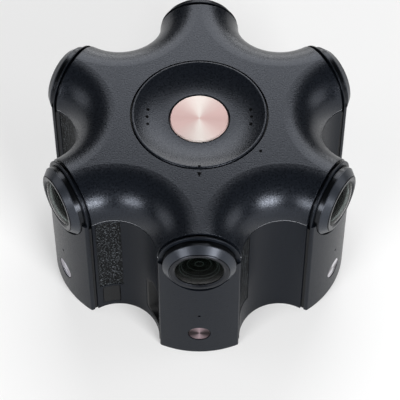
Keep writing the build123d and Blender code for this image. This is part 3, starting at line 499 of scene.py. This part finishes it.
def bevelled_bar(length, width, height, edge):
    """A bar that stands on z = 0 with all its edges eased: length is along z, width x, height y."""
    bpy.ops.mesh.primitive_cube_add(size=1, location=(0, 0, 0.5))
    bpy.ops.object.transform_apply(location=True)
    bpy.context.object.scale = (width, height, length)
    bpy.ops.object.transform_apply(scale=True)
    bpy.ops.object.mode_set(mode="EDIT")
    bpy.ops.mesh.select_all(action="SELECT")
    bpy.ops.mesh.bevel(offset=edge, segments=2)
    bpy.ops.object.mode_set(mode="OBJECT")
    return bpy.context.object


# %% Helpers for placing
def place_copy(source, name, matrix, body, material):
    """A copy of a modelled piece with its own mesh, set in place and riding on a body."""
    piece = source.copy()
    piece.data = source.data.copy()
    piece.name = piece.data.name = name
    bpy.context.collection.objects.link(piece)
    bpy.ops.object.select_all(action="DESELECT")
    piece.select_set(True)
    bpy.context.view_layer.objects.active = piece
    piece.matrix_world = matrix
    bpy.ops.object.transform_apply(location=True, rotation=True, scale=True)
    piece.data.materials.clear()
    piece.data.materials.append(material)
    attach(piece, body)
    return piece


def facing(place, direction):
    """Matrix that sets a piece at a place with its up side turned to a direction."""
    return Matrix.Translation(place) @ Vector(direction).to_track_quat("Z", "Y").to_matrix().to_4x4()


def arm_direction(degrees):
    """Level direction of length 1 at an angle from the X axis."""
    return Vector((cos(radians(degrees)), sin(radians(degrees)), 0))


# %% [markdown]
# ### Badge discs
# Each nose has a bare spun disc pressed into its recess. The CAD discs are plain. Their raised rim could
# have been cut in CAD, but it is too thin to matter there, so these detailed discs stand for them. The
# front one is dark at its sides in the photograph, and the others are paler. On the discs this is painted
# light: each gets its own lighter or darker copy of one metal colour and painted reflections round its
# middle.

# %% Model the badge and set six of them
badge_low, badge_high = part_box("arm_badges")
badge_middle_z = (badge_low.z + badge_high.z) / 2
badge_radius = (badge_high.z - badge_low.z) / 2
badge_front = -badge_low.y
badge_thickness, badge_gloss = 1.6 * mm, 0.26
model = raised_disc(
    badge_radius, badge_thickness, corners=96, chamfer=0.25 * mm, rim=0.35 * mm, sunk=0.12 * mm
)
# Painted light: a lit or shaded copy of the metal colour for each arm, and the colour of its painted
# reflections.
badge_painted_light = {
    "front": ("aa949a", "1c1013", (0, 0, 1), 1.0),
    "front_right": ("d8d6dc", "3c3438", (0.5, 0.3, 0.8), 0.4),
    "others": ("bcbcc8", "949098", (0, 0, 1), 0.8),
}
for arm, degrees in arm_angles.items():
    outwards = arm_direction(degrees)
    middle = outwards * badge_front + Vector((0, 0, badge_middle_z))
    colour, painted_reflection_colour, across, reach = badge_painted_light.get(arm, badge_painted_light["others"])
    finish = spun_metal(
        f"spun_pewter_{arm}", colour, painted_reflection_colour, middle, outwards, across, badge_gloss, reach
    )
    place_copy(
        model, f"badge_{arm}", facing(middle - outwards * badge_thickness, outwards), "housing",
        finish,
    )
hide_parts("arm_badges")
bpy.data.objects.remove(model)

# %% [markdown]
# ### Twist cover
# The real cover is moulded: a round lip, then a shallow bowl that falls evenly to the button, with a well
# under it. The CAD cover has a steeper wall, so this one stands in for it. It could be sculpted or made
# with a Screw modifier. Here a circle is extruded from ring to ring along a profile, as on a lathe, because
# every corner of the profile can then be named and checked.

# %% Helpers for turned pieces
def arc(centre, radius, start, end, steps):
    """Points of an arc from one angle to another, in degrees."""
    angles = [radians(start + (end - start) * index / steps) for index in range(steps + 1)]
    return [(centre[0] + radius * cos(a), centre[1] + radius * sin(a)) for a in angles]


def lathe(points, corners):
    """A closed ring of the given profile, as pairs of radius and height, round the Z axis."""
    bpy.ops.mesh.primitive_circle_add(
        vertices=corners, radius=points[0][0], location=(0, 0, points[0][1])
    )
    bpy.ops.object.transform_apply(location=True)
    bpy.ops.object.mode_set(mode="EDIT")
    bpy.ops.mesh.select_mode(type="VERT")
    bpy.ops.mesh.select_all(action="SELECT")
    for before, after in zip(points, points[1:] + points[:1]):
        rise = after[1] - before[1]
        bpy.ops.mesh.extrude_region_move(TRANSFORM_OT_translate={"value": (0, 0, rise)})
        scale = after[0] / before[0]
        bpy.ops.transform.resize(value=(scale, scale, 1), center_override=(0, 0, 0))
    bpy.ops.mesh.select_all(action="SELECT")
    bpy.ops.mesh.remove_doubles(threshold=0.001 * mm)
    bpy.ops.mesh.normals_make_consistent(inside=False)
    bpy.ops.object.mode_set(mode="OBJECT")
    return bpy.context.object


# %% Work out the cover's profile
cover_low, cover_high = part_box("twist_cover")
seam_gap = 0.3 * mm
cover_radius = cover_high.x - seam_gap
floor_z = top_z - 4.5 * mm
crest_z = top_z + 0.5 * mm
rim_z = top_z - 2.2 * mm
skirt_z = cover_low.z
skirt_radius, skirt_wall = cover_radius - 3.7 * mm, 2.0 * mm
lug_top, lug_reach = skirt_z + 1.6 * mm, 2.4 * mm
stem_radius, stem_z = 4.06 * mm, skirt_z + 1.0 * mm
spring_radius, spring_z = 7.0 * mm, skirt_z + 2.0 * mm
well_radius, well_z, well_wall = button_high.x + 0.5 * mm, skirt_z + 3.5 * mm, 1.5 * mm
underside_z, underside_inner = floor_z - 2.0 * mm, well_radius + 6.4 * mm
lip_round, lip_flat, inner_round = 0.6 * mm, 0.2 * mm, 1.6 * mm
bowl_start = well_radius + 0.3 * mm
bowl_end = cover_radius - lip_round - lip_flat
slope = 2 * atan((crest_z - floor_z) / (bowl_end - bowl_start))
bowl = (bowl_end - bowl_start) / sin(slope) - inner_round
steep = slope / pi * 180
profile = [
    (stem_radius, stem_z),
    (stem_radius, well_z),
    (well_radius, well_z),
    (well_radius, floor_z - 0.3 * mm),
]
profile += arc((bowl_start, floor_z + bowl), bowl, -90, -90 + steep, 24)
profile += arc((bowl_end, crest_z - inner_round), inner_round, 90 + steep, 90, 8)
profile += arc((cover_radius - lip_round, crest_z - lip_round), lip_round, 90, 0, 8)
profile += [
    (cover_radius, rim_z),
    (skirt_radius, rim_z),
    (skirt_radius, lug_top),
    (skirt_radius, skirt_z),
    (skirt_radius - skirt_wall, skirt_z),
    (skirt_radius - skirt_wall, floor_z),
    (underside_inner, underside_z),
    (well_radius + well_wall, underside_z),
    (well_radius + well_wall, spring_z),
    (spring_radius, spring_z),
    (spring_radius, stem_z),
]
print(f"{len(profile)} corners, the bowl falls {steep:.1f} degrees at the lip")

# %% [markdown]
# Three lugs at the foot of the skirt hold the cover under the broken ledge of its seat. They could be
# separate blocks joined to it. Growing them out of the skirt's own faces keeps the mesh closed.

# %% Turn the cover and grow its lugs
cover = lathe(profile, 192)
cover.name = cover.data.name = "cover_bowl"
lug_span, lug_step = 30, 120


def is_lug_wall(face):
    """Outer faces at the foot of the skirt, within half a lug's span of one of three directions."""
    x, y, z = face.center
    turn = (atan2(y, x) * 180 / pi + lug_span / 2) % lug_step
    return turn < lug_span and z < lug_top and sqrt(x * x + y * y) > skirt_radius - 0.1 * mm


bpy.ops.object.mode_set(mode="EDIT")
pick(is_lug_wall)
bpy.ops.mesh.extrude_region_move(TRANSFORM_OT_translate={"value": (0, 0, 0)})
lug_scale = 1 + lug_reach / skirt_radius
bpy.ops.transform.resize(value=(lug_scale, lug_scale, 1), center_override=(0, 0, 0))
bpy.ops.object.mode_set(mode="OBJECT")
bpy.ops.object.shade_smooth_by_angle(angle=radians(30))
cover.data.materials.append(charcoal)
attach(cover, "cover")
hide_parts("twist_cover")
print("cover with", len(cover.data.polygons), "faces")

# %% [markdown]
# ### Seals of the end panels
# A soft strip lies in the groove on both sides of each panel's spigot. It keeps light and rain out of the
# gap between the panel and the lower shell. A bent strip would follow the groove over the arch too.
# Straight bars do here, because the floor's light comes in at the foot of the groove.

# %% Two upright strips behind each end panel
_, panel_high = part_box("end_panel_front")
spigot_depth, spigot_half_width = 3.0 * mm, 21.2 * mm
shell_end = -panel_high.y + spigot_depth
groove, end_gap, side_gap, set_back = 2.0 * mm, 0.1 * mm, 0.1 * mm, 0.4 * mm
seal_bottom, seal_top = 1.3 * mm, 86.0 * mm
seal_inside = spigot_half_width + side_gap
seal_outside = panel_high.x - set_back
model = bevelled_bar(
    seal_top - seal_bottom, groove - 2 * end_gap, seal_outside - seal_inside, edge=0.2 * mm
)
count = 0
for degrees in arm_angles.values():
    turn = Matrix.Rotation(radians(degrees), 4, "Z")
    for side in (-1, 1):
        sideways = side * (seal_inside + seal_outside) / 2
        middle = Vector((shell_end + groove / 2, sideways, seal_bottom))
        count += 1
        place_copy(
            model, f"panel_seal_{count}", turn @ Matrix.Translation(middle), "housing", rubber
        )
bpy.data.objects.remove(model)
print(count, f"seals, {shell_end / mm:.2f} mm from the middle")

# %% [markdown]
# ### Stop rings behind the glass
# A lens has thin turned rings on the steps of its bore and round its inner glass. Through the dark front
# glass they show as faint arcs, one inside the other. The arcs could be painted on the glass, but real
# rings move against one another when the camera turns.

# %% Turn four sizes of ring and set them in six lenses
bright_ring = surface("turned_aluminium", "e4e6e8", 0.35, grain=0.3 * mm, depth=0.004 * mm,
                      rough_change=0.08, Metallic=1.0)
ring_width, ring_height = 0.5 * mm, 0.25 * mm
_, glass_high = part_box("front_lens_front")
glass_back = -glass_high.y
stops = ((11.2 * mm, 1.1 * mm), (10.0 * mm, 2.2 * mm), (6.6 * mm, 3.5 * mm), (2.2 * mm, 3.5 * mm))
count = 0
for radius, behind in stops:
    outer = radius + ring_width
    model = lathe([(radius, 0), (outer, 0), (outer, ring_height), (radius, ring_height)], 96)
    for degrees in arm_angles.values():
        outwards = arm_direction(degrees)
        place = facing(outwards * (glass_back - behind) + Vector((0, 0, lens_z)), outwards)
        count += 1
        place_copy(model, f"stop_ring_{count}", place, "housing", bright_ring)
    bpy.data.objects.remove(model)
print(count, "stop rings")

# %% [markdown]
# ### Indicator lamps and marks
# Three smoked lamps on each side of the bowl stand a hair proud of it. An arrow on the shell and a dot
# on the cover show the locked position, and a second dot on the shell shows where the cover comes off.
# Their heights could be worked out for the curved bowl. A ray shot down from above finds the surface and
# its slope at once.

# %% Lay lamps, dots and arrow on the surface
def lay_on(surface_piece, model, name, degrees_round, reach, proud, body, material):
    """Lay a copy of a flat model on a surface, standing out of it by the length proud."""
    over = arm_direction(degrees_round) * reach
    _, point, normal, _ = surface_piece.ray_cast(Vector((over.x, over.y, 1)), Vector((0, 0, -1)))
    turned = normal.to_track_quat("Z", "Y").to_matrix().to_4x4()
    matrix = Matrix.Translation(point - normal * (model.dimensions.z - proud)) @ turned
    return place_copy(model, name, matrix, body, material)


lamp = surface("smoked_lamp", "020203", 0.5, grain=0.5 * mm, depth=0.004 * mm, IOR=1.2,
               Specular_IOR_Level=0.1)
model = raised_disc(1.1 * mm, 0.6 * mm, corners=32, chamfer=0.1 * mm)
lamp_ring, lamp_proud = 31.0 * mm, 0.04 * mm
lamps = []
for side in (0, 180):
    for step in (-10, 0, 10):
        name = f"lamp_{len(lamps) + 1}"
        lamps.append(
            lay_on(cover, model, name, side + step, lamp_ring, lamp_proud, "cover", lamp)
        )
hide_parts("indicator_lights")
bpy.data.objects.remove(model)

ink = surface("black_ink", "020203", 0.8, grain=0.3 * mm, depth=0.004 * mm, Specular_IOR_Level=0.05)
mark_height, mark_proud = 0.12 * mm, 0.03 * mm
dot = raised_disc(1.0 * mm, mark_height, corners=32, chamfer=0.05 * mm)
arrow = raised_disc(1.9 * mm, mark_height, corners=3, chamfer=0.05 * mm)
arrow.scale = (0.85, 1.25, 1)
bpy.ops.object.transform_apply(scale=True)
shell = nodes["top_shell"]
lay_on(cover, dot, "cover_dot", -90, 38.6 * mm, mark_proud, "cover", ink)
lay_on(shell, arrow, "shell_arrow", -90, 44.2 * mm, mark_proud, "housing", ink)
lay_on(shell, dot, "shell_dot", -37.7, 45.2 * mm, mark_proud, "housing", ink)
bpy.data.objects.remove(dot)
bpy.data.objects.remove(arrow)
print(len(lamps), "lamps, two dots and an arrow")

# %% [markdown]
# ### Screws with a hexagon recess
# Six countersunk screws hold the base plate. Each has a hexagon socket for the key, which the plain CAD
# screws leave out. A Boolean could cut it. Bridging the round edge to the six-sided recess gives a cleaner
# mesh, with no thin slivers.

# %% Helpers for the screw
def pick_ring(low, high, height):
    """In edit mode, pick the corners between two radii at a height and no others."""
    piece = bpy.context.object
    bpy.ops.mesh.select_mode(type="VERT")
    bpy.ops.mesh.select_all(action="DESELECT")
    bpy.ops.object.mode_set(mode="OBJECT")
    for corner in piece.data.vertices:
        away = sqrt(corner.co.x**2 + corner.co.y**2)
        corner.select = low <= away <= high and abs(corner.co.z - height) < 0.01 * mm
    bpy.ops.object.mode_set(mode="EDIT")


def extrude_ring(shift, scale):
    """Extrude the picked ring along z and size it about the middle."""
    bpy.ops.mesh.extrude_region_move(TRANSFORM_OT_translate={"value": (0, 0, shift)})
    bpy.ops.transform.resize(value=(scale, scale, 1), center_override=(0, 0, 0))


# %% Model a screw and set six of them
head, recess, shank = 2.6 * mm, 1.3 * mm, 1.5 * mm
head_chamfer, head_depth = 0.3 * mm, 1.6 * mm
recess_depth, screw_length = 1.1 * mm, 9.0 * mm
bpy.ops.mesh.primitive_circle_add(vertices=48, radius=head - head_chamfer)
bpy.ops.object.mode_set(mode="EDIT")
bpy.ops.mesh.primitive_circle_add(vertices=6, radius=recess)
bpy.ops.mesh.select_all(action="SELECT")
bpy.ops.mesh.bridge_edge_loops()
pick_ring(0, recess * 1.01, 0)
extrude_ring(-recess_depth, 1)
bpy.ops.mesh.edge_face_add()
pick_ring(head - head_chamfer * 1.1, head, 0)
extrude_ring(-head_chamfer, head / (head - head_chamfer))
extrude_ring(head_chamfer - head_depth, 1)
extrude_ring(0, shank / head)
extrude_ring(head_depth - screw_length, 1)
bpy.ops.mesh.edge_face_add()
bpy.ops.mesh.select_all(action="SELECT")
bpy.ops.mesh.normals_make_consistent(inside=False)
bpy.ops.object.mode_set(mode="OBJECT")
model = bpy.context.object
screw_low, screw_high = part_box("base_screws")
screw_ring = screw_high.y - head
for arm, degrees in arm_angles.items():
    place = facing(arm_direction(degrees) * screw_ring + Vector((0, 0, screw_low.z)), (0, 0, -1))
    place_copy(model, f"screw_{arm}", place, "housing", steel)
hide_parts("base_screws")
bpy.data.objects.remove(model)

# %% [markdown]
# ### Inside the ports
# The network socket has eight gold springs along its roof, the power inlet a steel pin, and the small
# socket behind the flap a black tongue. They are too thin to matter in CAD. Bare boxes would pass at a
# distance, but eased edges catch the light from close by.

# %% Contact springs of the network socket
gold = surface("gold_plate", "d8b25a", 0.25, grain=0.3 * mm, depth=0.002 * mm, rough_change=0.05,
               Metallic=1.0)
socket_low, socket_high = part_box("network_socket")
socket_y = (socket_low.y + socket_high.y) / 2
roof = (socket_low.z + socket_high.z) / 2 + 4.0 * mm
back_wall = -3.0 * mm
spring_count, spring_pitch = 8, 1.1 * mm
spring_length, spring_thickness = 8.0 * mm, 0.4 * mm
model = bevelled_bar(spring_length, spring_thickness, spring_thickness, edge=0.08 * mm)
for index in range(spring_count):
    y = socket_y + (index - (spring_count - 1) / 2) * spring_pitch
    place = facing(Vector((back_wall, y, roof - spring_thickness / 2)), (-1, 0, 0))
    place_copy(model, f"contact_spring_{index + 1}", place, "housing", gold)
bpy.data.objects.remove(model)
print(spring_count, "contact springs")

# %% Pin of the power inlet
inlet_low, inlet_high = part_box("power_inlet")
inlet_y, inlet_z = (inlet_low.y + inlet_high.y) / 2, (inlet_low.z + inlet_high.z) / 2
pin_foot = -5.0 * mm
model = raised_disc(1.0 * mm, 7.0 * mm, corners=32, chamfer=0.3 * mm)
place = facing(Vector((pin_foot, inlet_y, inlet_z)), (-1, 0, 0))
place_copy(model, "inlet_pin", place, "housing", steel)
bpy.data.objects.remove(model)
print(f"pin at a height of {inlet_z / mm:.1f} mm")

# %% Tongue of the small socket
usb_low, usb_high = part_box("usb_socket")
usb_middle = (usb_low + usb_high) / 2
scallop_degrees, scallop_ring = -120, 98.8 * mm
towards_user = arm_direction(scallop_degrees) * scallop_ring - usb_middle
towards_user.z = 0
towards_user.normalize()
tongue_depth = 3.6 * mm
model = bevelled_bar(6.0 * mm, 6.4 * mm, 0.8 * mm, edge=0.1 * mm)
place = facing(usb_middle - towards_user * tongue_depth, towards_user)
place_copy(model, "usb_tongue", place, "housing", black)
bpy.data.objects.remove(model)
print(f"tongue {tongue_depth / mm:.1f} mm behind the socket's middle")
